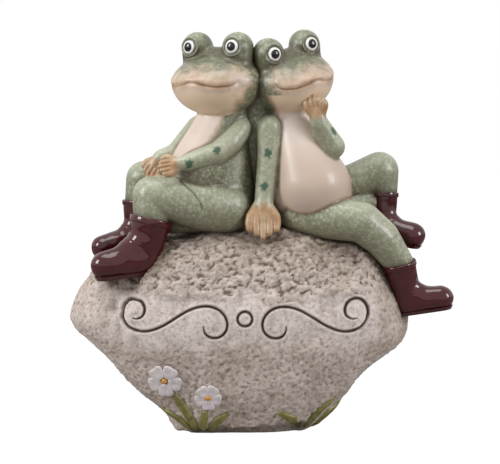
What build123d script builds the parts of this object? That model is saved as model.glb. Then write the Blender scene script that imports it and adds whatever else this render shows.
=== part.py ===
"""Two glazed earthenware frogs in rubber boots, sitting back to back on a hollow rock.

The figurine is slip-cast in pieces: a hollow rock, two hollow bodies, two hollow heads, and
solid arms, legs, boots, eyes, flowers and leaves. The pieces are luted together with slip
before firing, so each one is cut to sit face to face on the larger ones that carry it.

Frame: millimetres, X to the viewer's right, Y to the back, Z up. The origin is the centre of
the pour hole, on the underside of the foot that the figurine stands on.
"""
import os
from math import asin, atan2, cos, degrees, pi, radians, sin, tan

from build123d import *

os.makedirs("parts", exist_ok=True)

# Overall sizes of the rock and of the frogs above their seat.
rock_width = 236.0
rock_height = 142.0
rock_depth = 98.0
frog_height = 140.0

# Sizes that every piece shares.
wall = 5.0
luting_gap = 0.15
overrun = 30.0

# Places are shares: across by the rock's width and back by its depth. Above the seat, up is a
# share of the frogs' height, and below it, of the rock's height.


def place(across_share, back_share, up_share):
    """The point that three shares stand for, measured from the middle of the rock's seat."""
    rise = frog_height if up_share > 0 else rock_height
    return Vector(across_share * rock_width, back_share * rock_depth, rock_height + up_share * rise)


# Rock: an upright boulder on a narrow foot, cast hollow, with a pour hole in its foot.
# Each section share is height, left, right, front and back.
rock_section_shares = (
    (0.00, -0.212, 0.215, -0.35, 0.34),
    (0.14, -0.285, 0.285, -0.40, 0.40),
    (0.28, -0.362, 0.350, -0.45, 0.45),
    (0.42, -0.450, 0.450, -0.485, 0.48),
    (0.56, -0.508, 0.487, -0.50, 0.50),
    (0.70, -0.488, 0.466, -0.48, 0.48),
    (0.84, -0.415, 0.420, -0.42, 0.42),
    (0.93, -0.310, 0.350, -0.34, 0.34),
    (1.00, -0.140, 0.220, -0.22, 0.22),
)
rock_corner_share = 0.80
rock_skew_share = 0.08
pour_hole_radius = 12.0
vent_radius = 6.0
relief_height = 2.2
groove_depth = 1.3
groove_width = 1.9


def rock_form(growth, floor_height, top_height):
    """The boulder's skin moved outwards by growth, between two heights."""
    skew = rock_skew_share * rock_depth
    with BuildPart() as form:
        for height, left_share, right_share, front_share, back_share in rock_section_shares:
            left = left_share * rock_width - growth
            right = right_share * rock_width + growth
            front = front_share * rock_depth - growth
            back = back_share * rock_depth + growth
            middle = (left + right) / 2
            left_corner = middle + (left - middle) * rock_corner_share
            right_corner = middle + (right - middle) * rock_corner_share
            level = floor_height + height * (top_height - floor_height)
            with BuildSketch(Plane.XY.offset(level)):
                with BuildLine():
                    Spline(
                        (left, -skew),
                        (left_corner, front * rock_corner_share),
                        (middle, front),
                        (right_corner, front * rock_corner_share),
                        (right, skew),
                        (right_corner, back * rock_corner_share),
                        (middle, back),
                        (left_corner, back * rock_corner_share),
                        periodic=True,
                    )
                make_face()
        loft()
    return form.part


rock_skin = rock_form(0, 0, rock_height)
rock_cavity = rock_form(-wall, wall, rock_height - wall)


def limb_segment(start, start_radius, end, end_radius):
    """Two balls and the cone that wraps them, turned as one solid."""
    reach = end - start
    along = Plane(origin=start, z_dir=reach)
    lean = asin((start_radius - end_radius) / reach.length)
    low = (lean - pi / 2) / 2
    high = (lean + pi / 2) / 2
    with BuildPart() as segment:
        with BuildSketch(Plane(origin=start, x_dir=along.x_dir, z_dir=-along.y_dir)):
            with BuildLine():
                lower = ThreePointArc(
                    (0, -start_radius),
                    (start_radius * cos(low), start_radius * sin(low)),
                    (start_radius * cos(lean), start_radius * sin(lean)),
                )
                upper = ThreePointArc(
                    (end_radius * cos(lean), reach.length + end_radius * sin(lean)),
                    (end_radius * cos(high), reach.length + end_radius * sin(high)),
                    (0, reach.length + end_radius),
                )
                Line(lower @ 1, upper @ 0)
                Line(upper @ 1, lower @ 0)
            make_face()
        revolve(axis=Axis(start, reach))
    return segment.part


def limb_form(*chains):
    """One form that swells and tapers along chains of stations, each a centre and a radius."""
    segments = []
    for stations in chains:
        for start, end in zip(stations, stations[1:]):
            segments.append(limb_segment(*start, *end))
    with BuildPart() as form:
        add(segments)
    return form.part


def carved(solid, *cutters):
    """The solid less every cutter, so that it sits face to face on what they stand for."""
    with BuildPart() as piece:
        add(solid)
        for cutter in cutters:
            add(cutter, mode=Mode.SUBTRACT)
    return piece.part


def hand_in(solid, name):
    """Writes one finished piece under its own name."""
    solid.label = name
    export_step(solid, f"parts/{name}.step")


# Frogs. Each one is a table of places, as shares, and of its own sizes in millimetres.
# The near limbs are the ones on the viewer's side.
frogs = {
    "left_frog": {
        "torso_shares": ((-0.093, 0.02, 0.164), (-0.052, 0.02, 0.528)),
        "torso_radii": (30.0, 19.5),
        "head_share": (-0.083, -0.03, 0.728),
        "head_radius": 31.0,
        "face_turn": -32.0,
        "head_roll": 0.0,
        "eye_spacing": 33.0,
        "gaze_turns": (-25.0, -40.0),
        "near_leg_shares": ((-0.060, -0.14, 0.107), (-0.161, -0.20, 0.136), (-0.271, -0.235, 0.176)),
        "near_leg_radii": (18.0, 16.5, 13.3),
        "far_leg_shares": ((-0.127, 0.08, 0.130), (-0.301, 0.06, 0.236)),
        "far_leg_radii": (13.0, 12.0),
        "near_boot_shares": ((-0.273, -0.265, 0.066), (-0.276, -0.300, -0.095), (-0.409, -0.400, -0.168)),
        "near_boot_size": 1.0,
        "far_boot_shares": ((-0.314, 0.06, 0.115), (-0.318, 0.05, -0.035), (-0.421, -0.08, -0.096)),
        "far_boot_size": 0.8,
        "near_arm_shares": ((-0.017, -0.12, 0.483), (-0.076, -0.25, 0.379), (-0.184, -0.31, 0.329)),
        "near_arm_radii": (10.0, 9.6, 6.3),
        "near_palm_share": (-0.222, -0.32, 0.312),
        "near_hand_size": 0.85,
        "near_hand_tilt": 35.0,
        "far_arm_shares": ((-0.139, -0.04, 0.500), (-0.203, -0.08, 0.371), (-0.250, -0.15, 0.329)),
        "far_arm_radii": (8.0, 7.4, 5.6),
        "far_palm_share": (-0.280, -0.19, 0.321),
        "far_hand_size": 0.8,
        "far_hand_tilt": 55.0,
    },
    "right_frog": {
        "torso_shares": ((0.193, 0.02, 0.182), (0.119, 0.02, 0.543)),
        "torso_radii": (29.5, 17.5),
        "head_share": (0.137, -0.03, 0.736),
        "head_radius": 29.5,
        "face_turn": 35.0,
        "head_roll": 12.0,
        "eye_spacing": 31.0,
        "gaze_turns": (25.0, 33.0),
        "near_leg_shares": (
            (0.163, -0.12, 0.069),
            (0.252, -0.20, 0.050),
            (0.341, -0.22, 0.043),
            (0.400, -0.20, -0.039),
        ),
        "near_leg_radii": (15.0, 13.5, 14.0, 12.8),
        "far_leg_shares": ((0.267, 0.08, 0.175), (0.400, 0.10, 0.271)),
        "far_leg_radii": (12.5, 13.5),
        "near_boot_shares": ((0.453, -0.175, -0.162), (0.483, -0.145, -0.347), (0.580, -0.185, -0.336)),
        "near_boot_size": 0.8,
        "far_boot_shares": ((0.415, 0.10, 0.145), (0.436, 0.06, 0.036), (0.500, -0.04, -0.046)),
        "far_boot_size": 0.7,
        "near_arm_shares": ((0.064, -0.14, 0.507), (0.060, -0.17, 0.350), (0.053, -0.21, 0.164)),
        "near_arm_radii": (8.4, 7.6, 7.2),
        "near_palm_share": (0.053, -0.27, 0.060),
        "near_hand_size": 1.3,
        "near_hand_tilt": 0.0,
        "far_arm_shares": ((0.212, -0.06, 0.507), (0.264, -0.17, 0.407), (0.216, -0.24, 0.536)),
        "far_arm_radii": (8.0, 8.5, 6.3),
        "far_palm_share": (0.206, -0.25, 0.607),
        "far_hand_size": 0.75,
        "far_hand_tilt": -30.0,
    },
}

neck_rise_share = 0.60


def torso_form(frog, inset):
    """A hunched pear, open at its neck plane, moved inwards by inset."""
    places = [place(*share) for share in frog["torso_shares"]]
    radii = [radius - inset for radius in frog["torso_radii"]]
    neck_height = places[-1].Z + neck_rise_share * frog["torso_radii"][-1]
    with BuildPart() as form:
        add(limb_form(tuple(zip(places, radii))))
        split(bisect_by=Plane.XY.offset(neck_height), keep=Keep.BOTTOM)
    return form.part


# Heads: a flattened, wide-mouthed shell with two eye bulbs on its crown.
head_rise = 19.5
head_drop = 23.5
mouth_edge_radius = 13.0
eye_bulb_radius = 10.8
eye_lift = 23.5
gaze_rise = 13.0
eye_white_radius = 4.8
pupil_radius = 3.0
eye_socket_depth = 1.6
pupil_depth = 0.8
eye_white_rise = 0.35
pupil_rise = 0.7


def head_plane(frog):
    """The head's own frame: X looks out of the face, Y is the frog's left, Z is the crown."""
    facing = Vector(sin(radians(frog["face_turn"])), -cos(radians(frog["face_turn"])), 0)
    middle = place(*frog["head_share"])
    crown = Vector(0, 0, 1).rotate(Axis(middle, facing), frog["head_roll"])
    return Plane(origin=middle, x_dir=facing, z_dir=crown)


def cap_angle(reach, height):
    """The angle that a cap of a head's outline turns through before it meets the mouth's edge."""
    fall = (reach**2 - height**2) / (2 * height)
    return atan2(reach, fall)


def head_shell(frog, inset):
    """The flattened head without its eyes, moved inwards by inset: a dome, a mouth edge, a chin."""
    own = head_plane(frog)
    edge = mouth_edge_radius - inset
    reach = frog["head_radius"] - mouth_edge_radius
    crown_height, chin_height = head_rise - mouth_edge_radius, head_drop - mouth_edge_radius
    crown_turn, chin_turn = cap_angle(reach, crown_height), cap_angle(reach, chin_height)
    crown_radius, chin_radius = edge + reach / sin(crown_turn), edge + reach / sin(chin_turn)
    with BuildPart() as form:
        with BuildSketch(Plane(origin=own.origin, x_dir=own.x_dir, z_dir=-own.y_dir)):
            with BuildLine():
                crown = JernArc((0, head_rise - inset), (1, 0), crown_radius, -degrees(crown_turn))
                cheek = JernArc(crown @ 1, crown % 1, edge, degrees(crown_turn + chin_turn) - 360 / 2)
                chin = JernArc(cheek @ 1, cheek % 1, chin_radius, -degrees(chin_turn))
                Line(chin @ 1, crown @ 0)
            make_face()
        revolve(axis=Axis(own.origin, own.z_dir))
    return form.part


def eye_planes(frog):
    """The near and the far eye's frames, each with Z along the gaze."""
    own = head_plane(frog)
    near_sign = 1 if frog["face_turn"] < 0 else -1
    planes = []
    for sign, turn in zip((near_sign, -near_sign), frog["gaze_turns"]):
        centre = own.origin + own.y_dir * (sign * frog["eye_spacing"] / 2) + own.z_dir * eye_lift
        level_gaze = Vector(sin(radians(turn)), -cos(radians(turn)), 0)
        gaze = level_gaze + Vector(0, 0, tan(radians(gaze_rise)))
        planes.append(Plane(origin=centre, z_dir=gaze))
    return planes


def eye_button(plane, radius, seat_depth, rise):
    """A round inlay seated in an eye bulb, domed a little proud of it."""
    with BuildPart() as button:
        with BuildSketch(plane.offset(eye_bulb_radius - seat_depth)):
            Circle(radius)
        extrude(amount=seat_depth + rise)
        with Locations(plane.location):
            Sphere(eye_bulb_radius + rise, mode=Mode.INTERSECT)
    return button.part


# Boots: a short rubber boot with a flared shaft, a rolled rim, a round toe and a welted sole.
boot_rim_radius = 14.0
boot_ankle_radius = 11.0
boot_heel_radius = 12.6
boot_toe_radius = 10.6
boot_rim_height = 3.6
boot_rim_lip = 0.7
boot_shin_radius = 12.8
boot_socket_radius = 10.5
boot_socket_depth = 6.0
boot_sole_thickness = 3.4
boot_sole_drop_share = 0.62
boot_sole_width_share = 0.90


def boot_places(frog, side):
    """The centres of a boot's rim, heel and toe."""
    return [place(*share) for share in frog[side + "_boot_shares"]]


def rim_plane(frog, side):
    """The plane of a boot's top, with Z out of the boot."""
    rim, heel, toe = boot_places(frog, side)
    return Plane(origin=rim, x_dir=toe - heel, z_dir=rim - heel)


def boot_form(frog, side):
    """One boot without its socket."""
    size = frog[side + "_boot_size"]
    rim, heel, toe = boot_places(frog, side)
    top = rim_plane(frog, side)
    across = (toe - heel).cross(Vector(0, 0, 1))
    foot = Plane(origin=heel, x_dir=toe - heel, z_dir=across.cross(toe - heel))
    sole_top = foot.offset(-boot_sole_drop_share * boot_heel_radius * size)
    heel_radius, toe_radius = boot_heel_radius * size, boot_toe_radius * size
    upper = limb_form(((heel, heel_radius), (toe, toe_radius)))
    with BuildPart() as boot:
        add(upper)
        with BuildSketch(Plane(origin=heel, x_dir=top.x_dir, z_dir=top.z_dir)):
            Circle(boot_ankle_radius * size)
        with BuildSketch(top):
            Circle(boot_rim_radius * size)
        loft()
        with BuildSketch(top):
            Circle((boot_rim_radius + boot_rim_lip) * size)
        extrude(amount=-boot_rim_height * size)
        with BuildSketch(sole_top) as sole:
            Circle(heel_radius * boot_sole_width_share)
            with Locations(((toe - heel).length, 0)):
                Circle(toe_radius * boot_sole_width_share)
            make_hull()
        extrude(amount=-boot_sole_thickness * size)
    return boot.part


def leg_form(frog, side):
    """A leg that ends in a plug, which the boot's socket takes."""
    size = frog[side + "_boot_size"]
    top = rim_plane(frog, side)
    places = [place(*share) for share in frog[side + "_leg_shares"]]
    shin = (top.origin, boot_shin_radius * size)
    flesh = limb_form((*zip(places, frog[side + "_leg_radii"]), shin))
    with BuildPart() as leg:
        add(flesh)
        with BuildSketch(top):
            Circle(boot_rim_radius * size)
        extrude(amount=-overrun, mode=Mode.SUBTRACT)
        with BuildSketch(top.offset(-boot_socket_depth * size)):
            Circle(boot_socket_radius * size - luting_gap)
        extrude(amount=(boot_socket_depth + boot_rim_height) * size)
    return leg.part


def boot_socket(frog, side):
    """The hole in a boot's top that its leg's plug fills."""
    size = frog[side + "_boot_size"]
    with BuildPart() as socket:
        with BuildSketch(rim_plane(frog, side).offset(-boot_socket_depth * size)):
            Circle(boot_socket_radius * size)
        extrude(amount=boot_socket_depth * size + overrun)
    return socket.part


# Hands: a broad palm across the end of the wrist, with four stubby fingers that spread from it.
finger_count = 4
finger_length = 11.0
finger_radius = 2.4
fingertip_radius = 2.0
finger_step = 4.9
finger_splay_share = 0.35
palm_radius = 4.6
palm_root_radius = 3.9
palm_reach = 4.4


def arm_form(frog, side):
    """An arm with its hand: shoulder, elbow, wrist, palm and spread fingers."""
    size = frog[side + "_hand_size"]
    tilt = radians(frog[side + "_hand_tilt"])
    places = [place(*share) for share in frog[side + "_arm_shares"]]
    palm = place(*frog[side + "_palm_share"])
    reach = (palm - places[-1]).normalized()
    spread = reach.cross(Vector(0, -cos(tilt), sin(tilt))).normalized()
    palm_side = spread * palm_reach * size
    chains = [
        (*zip(places, frog[side + "_arm_radii"]), (palm, palm_root_radius * size)),
        ((palm - palm_side, palm_radius * size), (palm + palm_side, palm_radius * size)),
    ]
    for finger in range(finger_count):
        offset = (finger - (finger_count - 1) / 2) * finger_step * size
        knuckle = palm + spread * offset
        fingertip = knuckle + reach * finger_length * size + spread * offset * finger_splay_share
        chains.append(((knuckle, finger_radius * size), (fingertip, fingertip_radius * size)))
    return limb_form(*chains)


# Flowers: five rounded petals and a button, pressed on to the rock's face.
# Each share is across the rock and up its height.
flowers = {
    "large_flower": {"seat_share": (-0.243, 0.262), "petal_radius": 5.4, "ring_radius": 6.4, "turn": 18.0},
    "small_flower": {"seat_share": (-0.116, 0.178), "petal_radius": 4.4, "ring_radius": 4.9, "turn": 50.0},
}
petal_count = 5
petal_rise = 2.6
petal_root = 4.0
button_radius = 1.9
button_rise = 1.5
button_seat_depth = 1.0

# Stems and leaves: flat ribbons in relief. Each one has its points, as shares across the rock
# and up its height, and its width.
leaves = {
    "large_flower_stem": {"shares": ((-0.216, 0.205), (-0.178, 0.115), (-0.138, 0.012)), "width": 5.6},
    "small_flower_stem": {"shares": ((-0.122, 0.115), (-0.125, 0.065), (-0.128, 0.012)), "width": 4.6},
    "left_leaf": {"shares": ((-0.245, 0.125), (-0.190, 0.085), (-0.150, 0.012)), "width": 5.6},
    "middle_leaf": {"shares": ((-0.052, 0.110), (-0.086, 0.070), (-0.112, 0.012)), "width": 5.2},
    "right_leaf_low": {"shares": ((0.100, 0.115), (0.142, 0.080), (0.158, 0.020)), "width": 5.4},
    "right_leaf_tall": {"shares": ((0.262, 0.175), (0.212, 0.110), (0.176, 0.020)), "width": 4.4},
    "right_leaf_side": {"shares": ((0.278, 0.145), (0.235, 0.085), (0.196, 0.020)), "width": 4.4},
}
leaf_gap = 0.3

# Ornament: a carved scroll, the same on both sides of a ring in the middle of the face. Its
# points are shares across the rock and up its height, from the ring to the end of the curl.
scroll_shares = (
    (0.082, 0.610),
    (0.066, 0.578),
    (0.042, 0.620),
    (0.080, 0.685),
    (0.150, 0.672),
    (0.215, 0.595),
    (0.285, 0.535),
    (0.350, 0.570),
    (0.352, 0.650),
    (0.305, 0.675),
    (0.288, 0.625),
)
ring_share = (0.0, 0.610)
ring_radius = 6.0


def face_point(across_share, up_share):
    """The point of the rock's front face at two shares, and the way out of it."""
    sight = Axis((across_share * rock_width, -rock_depth, up_share * rock_height), (0, 1, 0))
    return rock_skin.find_intersection_points(sight)[0]


def flower_frame(flower):
    """The plane that a flower sits on, with Z out of the rock."""
    point, outward = face_point(*flower["seat_share"])
    return Plane(origin=point, x_dir=(1, 0, 0), z_dir=outward)


def petals_form(flower):
    """Five petals in one rosette, with roots that run into the rock."""
    frame = flower_frame(flower)
    radius = flower["petal_radius"]
    with BuildPart() as petal:
        with BuildSketch(Plane.XZ):
            with BuildLine():
                side = Polyline((0, petal_rise), (0, -petal_root), (radius, -petal_root), (radius, 0))
                RadiusArc(side @ 1, side @ 0, -(radius**2 + petal_rise**2) / (2 * petal_rise))
            make_face()
        revolve(axis=Axis.Z)
    with BuildPart(frame) as rosette:
        with PolarLocations(flower["ring_radius"], petal_count, start_angle=flower["turn"]):
            add(petal.part)
        with BuildSketch(frame.offset(petal_rise - button_seat_depth)):
            Circle(button_radius + luting_gap)
        extrude(amount=overrun, mode=Mode.SUBTRACT)
        with BuildSketch(frame.offset(-petal_root)):
            Circle(flower["ring_radius"])
        extrude(amount=petal_root + petal_rise - button_seat_depth)
    return rosette.part


def button_form(flower):
    """The domed button in the middle of a flower."""
    frame = flower_frame(flower)
    with BuildPart() as button:
        with BuildSketch(frame.offset(petal_rise - button_seat_depth)):
            Circle(button_radius)
        extrude(amount=button_seat_depth)
        with BuildSketch(frame.offset(petal_rise)):
            Circle(button_radius)
        with BuildSketch(frame.offset(petal_rise + button_rise)):
            Circle(button_radius / 2)
        loft()
    return button.part


def on_face(shares, side):
    """Points of the upright plane, on one side of the middle."""
    return [(side * across * rock_width, up * rock_height) for across, up in shares]


def scroll_grooves():
    """The ring and the two scrolls, as deep as the groove all over the rock's face."""
    grooves = []
    floor_skin = rock_form(-groove_depth, 0, rock_height)
    for side in (1, -1):
        with BuildPart() as scroll:
            with BuildSketch(Plane.XZ):
                with BuildLine():
                    Spline(*on_face(scroll_shares, side))
                trace(line_width=groove_width)
            extrude(amount=rock_depth)
        grooves.append(carved(scroll.part, floor_skin))
    with BuildPart() as ring:
        with BuildSketch(Plane.XZ):
            with Locations(*on_face((ring_share,), 1)):
                Circle(ring_radius)
                Circle(ring_radius - groove_width, mode=Mode.SUBTRACT)
        extrude(amount=rock_depth)
    grooves.append(carved(ring.part, floor_skin))
    return grooves


def leaf_ribbon(leaf, growth):
    """A leaf's outline run through the rock's face, wider by growth on each side."""
    points = on_face(leaf["shares"], 1)
    with BuildPart() as ribbon:
        with BuildSketch(Plane.XZ):
            with BuildLine():
                ThreePointArc(*points)
            trace(line_width=leaf["width"] + 2 * growth)
            with Locations(points[0]):
                Circle(leaf["width"] / 2 + growth)
        extrude(amount=rock_depth)
    return ribbon.part


# The rock's parts: the shell, with its pour hole and one vent under each frog.
with BuildPart() as vents:
    for frog in frogs.values():
        with Locations(place(*frog["torso_shares"][0])):
            Cylinder(vent_radius, 2 * frog["torso_radii"][0] + 2 * wall)

with BuildPart() as rock:
    add(rock_skin)
    add(rock_cavity, mode=Mode.SUBTRACT)
    with BuildSketch():
        Circle(pour_hole_radius)
    extrude(amount=2 * wall, mode=Mode.SUBTRACT)
    add(vents.part, mode=Mode.SUBTRACT)
hand_in(carved(rock.part, *scroll_grooves()), "rock")

# Leaves and stems take the space between the rock's skin and the same skin moved outwards.
# A later ribbon stops a luting gap short of the earlier ones that it meets.
relief_skin = rock_form(relief_height, 0, rock_height)
flower_forms = {name: petals_form(flower) for name, flower in flowers.items()}
for name, flower in flowers.items():
    hand_in(carved(flower_forms[name], rock_skin), name + "_petals")
    hand_in(button_form(flower), name + "_button")
earlier_ribbons = []
for name, leaf in leaves.items():
    with BuildPart() as blade:
        add(leaf_ribbon(leaf, 0))
        add(relief_skin, mode=Mode.INTERSECT)
    hand_in(carved(blade.part, rock_skin, *earlier_ribbons, *flower_forms.values()), name)
    earlier_ribbons.append(leaf_ribbon(leaf, leaf_gap))

# The frogs, largest pieces first. What is already made cuts what comes after it.
outer_forms = [rock_skin]
head_forms = []
for name, frog in frogs.items():
    torso = torso_form(frog, 0)
    shell = carved(torso, *outer_forms, torso_form(frog, wall), vents.part)
    hand_in(shell, name + "_body")
    outer_forms.append(torso)

for name, frog in frogs.items():
    with BuildPart() as head:
        add(head_shell(frog, 0))
        for plane in eye_planes(frog):
            with Locations(plane.location):
                Sphere(eye_bulb_radius)
    head_outer = head.part
    inlays, pupils, sockets = [], [], []
    for plane in eye_planes(frog):
        white = eye_button(plane, eye_white_radius, eye_socket_depth, eye_white_rise)
        hole = eye_button(plane, pupil_radius + luting_gap, pupil_depth, overrun)
        inlays.append(carved(white, hole))
        pupils.append(eye_button(plane, pupil_radius, pupil_depth, pupil_rise))
        sockets.append(eye_button(plane, eye_white_radius + luting_gap, eye_socket_depth, overrun))
    solid_head = carved(head_outer, *outer_forms, *head_forms, head_shell(frog, wall), *sockets)
    hand_in(solid_head, name + "_head")
    hand_in(Compound(children=inlays), name + "_eye_whites")
    hand_in(Compound(children=pupils), name + "_pupils")
    head_forms.append(head_outer)
outer_forms += head_forms

for name, frog in frogs.items():
    for side in ("near", "far"):
        leg = leg_form(frog, side)
        hand_in(carved(leg, *outer_forms), f"{name}_{side}_leg")
        boot = boot_form(frog, side)
        hand_in(carved(boot, boot_socket(frog, side), *outer_forms), f"{name}_{side}_boot")
        outer_forms += [leg, boot]

for name, frog in frogs.items():
    for side in ("near", "far"):
        arm = arm_form(frog, side)
        hand_in(carved(arm, *outer_forms), f"{name}_{side}_arm")
        outer_forms.append(arm)
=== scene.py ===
import bpy
import numpy as np
from math import cos, radians, sin
from mathutils import Matrix, Vector, noise
from mathutils.bvhtree import BVHTree


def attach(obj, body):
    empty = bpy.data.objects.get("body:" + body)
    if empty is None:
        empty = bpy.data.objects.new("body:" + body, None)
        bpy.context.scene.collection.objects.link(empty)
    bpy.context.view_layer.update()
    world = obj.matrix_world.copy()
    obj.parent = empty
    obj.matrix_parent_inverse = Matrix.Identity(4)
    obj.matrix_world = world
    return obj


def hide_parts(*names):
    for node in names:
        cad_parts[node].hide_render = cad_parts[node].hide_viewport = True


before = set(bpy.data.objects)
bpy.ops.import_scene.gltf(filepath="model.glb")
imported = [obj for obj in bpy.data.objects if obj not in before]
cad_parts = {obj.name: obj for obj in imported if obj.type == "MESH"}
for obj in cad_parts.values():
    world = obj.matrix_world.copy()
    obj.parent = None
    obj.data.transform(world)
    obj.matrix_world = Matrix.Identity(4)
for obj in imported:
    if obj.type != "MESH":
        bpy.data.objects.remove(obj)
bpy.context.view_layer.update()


# Studio: a white table under a white tent, as small ceramics are photographed. Two softboxes
# stand in front, left and right, and a third hangs above. The camera looks down a little.
mm = 0.001
scene = bpy.context.scene
scene.view_settings.view_transform = "Standard"
aim = Vector((3.5, 0, 137.9)) * mm
camera_distance = 1800 * mm
camera_tilt = radians(8)
photo_width = 350 * mm
camera_data = bpy.data.cameras.new("camera")
camera_data.lens = camera_data.sensor_width * camera_distance / photo_width
camera_data.clip_end = 20
camera = bpy.data.objects.new("camera", camera_data)
camera.location = aim + Vector((0, -cos(camera_tilt), sin(camera_tilt))) * camera_distance
camera.rotation_euler = (radians(90) - camera_tilt, 0, 0)
scene.collection.objects.link(camera)
scene.camera = camera


def softbox(name, place, width, height, power):
    lamp = bpy.data.lights.new(name, "AREA")
    lamp.shape = "RECTANGLE"
    lamp.size, lamp.size_y = width * mm, height * mm
    lamp.energy = power
    stand = bpy.data.objects.new(name, lamp)
    stand.location = Vector(place) * mm
    stand.rotation_euler = (aim - stand.location).to_track_quat("-Z", "Y").to_euler()
    scene.collection.objects.link(stand)


softbox("softbox_left", (-1100, -520, 760), 420, 640, 13)
softbox("softbox_right", (1150, -560, 620), 380, 600, 10)
softbox("softbox_above", (-100, -150, 1200), 700, 500, 5)


def add(tree, kind, place=(0, 0), inputs={}, **settings):
    """Adds one node with its settings, and fills its inputs or links them to other nodes."""
    node = tree.nodes.new("ShaderNode" + kind)
    node.location = (place[0] * 200, place[1] * 160)
    for setting, value in settings.items():
        setattr(node, setting, value)
    for socket, value in inputs.items():
        if isinstance(value, bpy.types.Node):
            value = next(output for output in value.outputs if output.enabled)
        if isinstance(value, bpy.types.NodeSocket):
            tree.links.new(value, node.inputs[socket])
        else:
            node.inputs[socket].default_value = value
    return node


def paint(code):
    """A hex sRGB colour turned linear."""
    parts = [int(code[i:i + 2], 16) / 255 for i in (1, 3, 5)]
    return (*[p / 12.92 if p < 0.04045 else ((p + 0.055) / 1.055) ** 2.4 for p in parts], 1)


def bare_material(name):
    """A new material with an empty tree, and that tree."""
    material = bpy.data.materials.new(name)
    material.use_nodes = True
    material.node_tree.nodes.clear()
    return material, material.node_tree


def let_go():
    bpy.ops.object.select_all(action="DESELECT")


world = bpy.data.worlds.new("white tent")
scene.world = world
world.use_nodes = True
tree = world.node_tree
tree.nodes.clear()
ray = add(tree, "LightPath").outputs
seen = add(tree, "Math", (1, 0), {0: ray["Is Camera Ray"], 1: ray["Is Glossy Ray"]}, operation="MAXIMUM")
seen = add(tree, "Math", (2, 0), {0: seen, 1: ray["Is Transmission Ray"]}, operation="MAXIMUM")
level = add(tree, "MapRange", (3, 0), {"Value": seen, "To Min": 0.3, "To Max": 1.0})
sky = add(tree, "Background", (4, 0), {"Color": (1, 1, 1, 1), "Strength": level})
add(tree, "OutputWorld", (5, 0), {"Surface": sky})

# Matt white paper on the table: it glows a little, as lit paper does, so that it runs into the
# white behind it and only the soft shadow under the rock is seen.
let_go()
bpy.ops.mesh.primitive_grid_add(x_subdivisions=4, y_subdivisions=4, size=8)
table = bpy.context.object
table.name = "table"
tabletop, tree = bare_material("matt white paper")
ray = add(tree, "LightPath", (0, 1)).outputs
paper = add(tree, "BsdfDiffuse", (1, 0), {"Color": paint("#a8a6a4")})
glow = add(tree, "Emission", (1, -1), {"Color": (1, 1, 1, 1), "Strength": 1.32})
share = add(tree, "Math", (1, 1), {0: ray["Is Camera Ray"], 1: 0.75}, operation="MULTIPLY")
top = add(tree, "MixShader", (2, 0), {0: share, 1: paper, 2: glow})
add(tree, "OutputMaterial", (3, 0), {"Surface": top})
table.data.materials.append(tabletop)


# Rock: an upright boulder, slip-cast hollow in matt clay. Its top is dabbed rough with a tool,
# its face is wiped smooth for a carved scroll, and a brown wash is left in every pit.
def take(*pieces):
    let_go()
    for piece in pieces:
        piece.select_set(True)
    bpy.context.view_layer.objects.active = pieces[0]


def settle_place(piece):
    take(piece)
    bpy.ops.object.transform_apply(location=True, rotation=True, scale=True)


def egg(name, height, radii, segments, rings):
    """A ball drawn out to three radii, with its middle at a height, in millimetres."""
    let_go()
    bpy.ops.mesh.primitive_uv_sphere_add(
        segments=segments, ring_count=rings, radius=1, location=(0, 0, height * mm)
    )
    made = bpy.context.object
    made.name = name
    made.scale = [radius * mm for radius in radii]
    settle_place(made)
    return made


def press(piece, kind, **settings):
    """Adds a modifier and applies it."""
    take(piece)
    modifier = piece.modifiers.new(kind.lower(), kind)
    for setting, value in settings.items():
        setattr(modifier, setting, value)
    bpy.ops.object.modifier_apply(modifier=modifier.name)


def gather(items, field, width=1, kind=float):
    """One reading, or a row of them, for each of a mesh's items."""
    flat = np.empty(len(items) * width, kind)
    items.foreach_get(field, flat)
    return flat.reshape(-1, width) if width > 1 else flat


def points_of(piece):
    """The piece's points in millimetres, one row each."""
    return gather(piece.data.vertices, "co", 3) / mm


def put_points(piece, points):
    piece.data.vertices.foreach_set("co", (points * mm).ravel())
    piece.data.update()


def facing_of(piece):
    return gather(piece.data.vertex_normals, "vector", 3)


def edges_of(piece):
    return gather(piece.data.edges, "vertices", 2, int)


def corners_of(piece):
    """Every face's first corner and its number of corners, and every corner's point."""
    starts = gather(piece.data.polygons, "loop_start", kind=int)
    sizes = gather(piece.data.polygons, "loop_total", kind=int)
    return starts, sizes, gather(piece.data.loops, "vertex_index", kind=int)


def sponge(values, edges, rounds, softness=0.5):
    """Evens out points or readings with their neighbours, as a damp sponge does."""
    values = values.astype(float)
    one, two = edges[:, 0], edges[:, 1]
    count = np.maximum(np.bincount(edges.ravel(), minlength=len(values)), 1)
    columns = values.reshape(len(values), -1)
    for _ in range(rounds):
        around = [
            np.bincount(one, column[two], len(values)) + np.bincount(two, column[one], len(values))
            for column in columns.T
        ]
        columns = columns + np.reshape(softness, (-1, 1)) * (np.array(around).T / count[:, None] - columns)
    return columns.reshape(values.shape)


def ease(low, high, value):
    """0 below low, 1 above high, and smooth between."""
    part = np.clip((value - low) / (high - low), 0, 1)
    return part * part * (3 - 2 * part)


def hump(value, middle, width):
    """1 at the middle, fading to both sides over about a width."""
    return np.exp(-(((value - middle) / width) ** 2))


def note_down(piece, name, values):
    """Keeps one reading for each point, for the glaze to follow."""
    spot = piece.data.attributes.get(name) or piece.data.attributes.new(name, "FLOAT", "POINT")
    spot.data.foreach_set("value", np.asarray(values, float))


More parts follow.
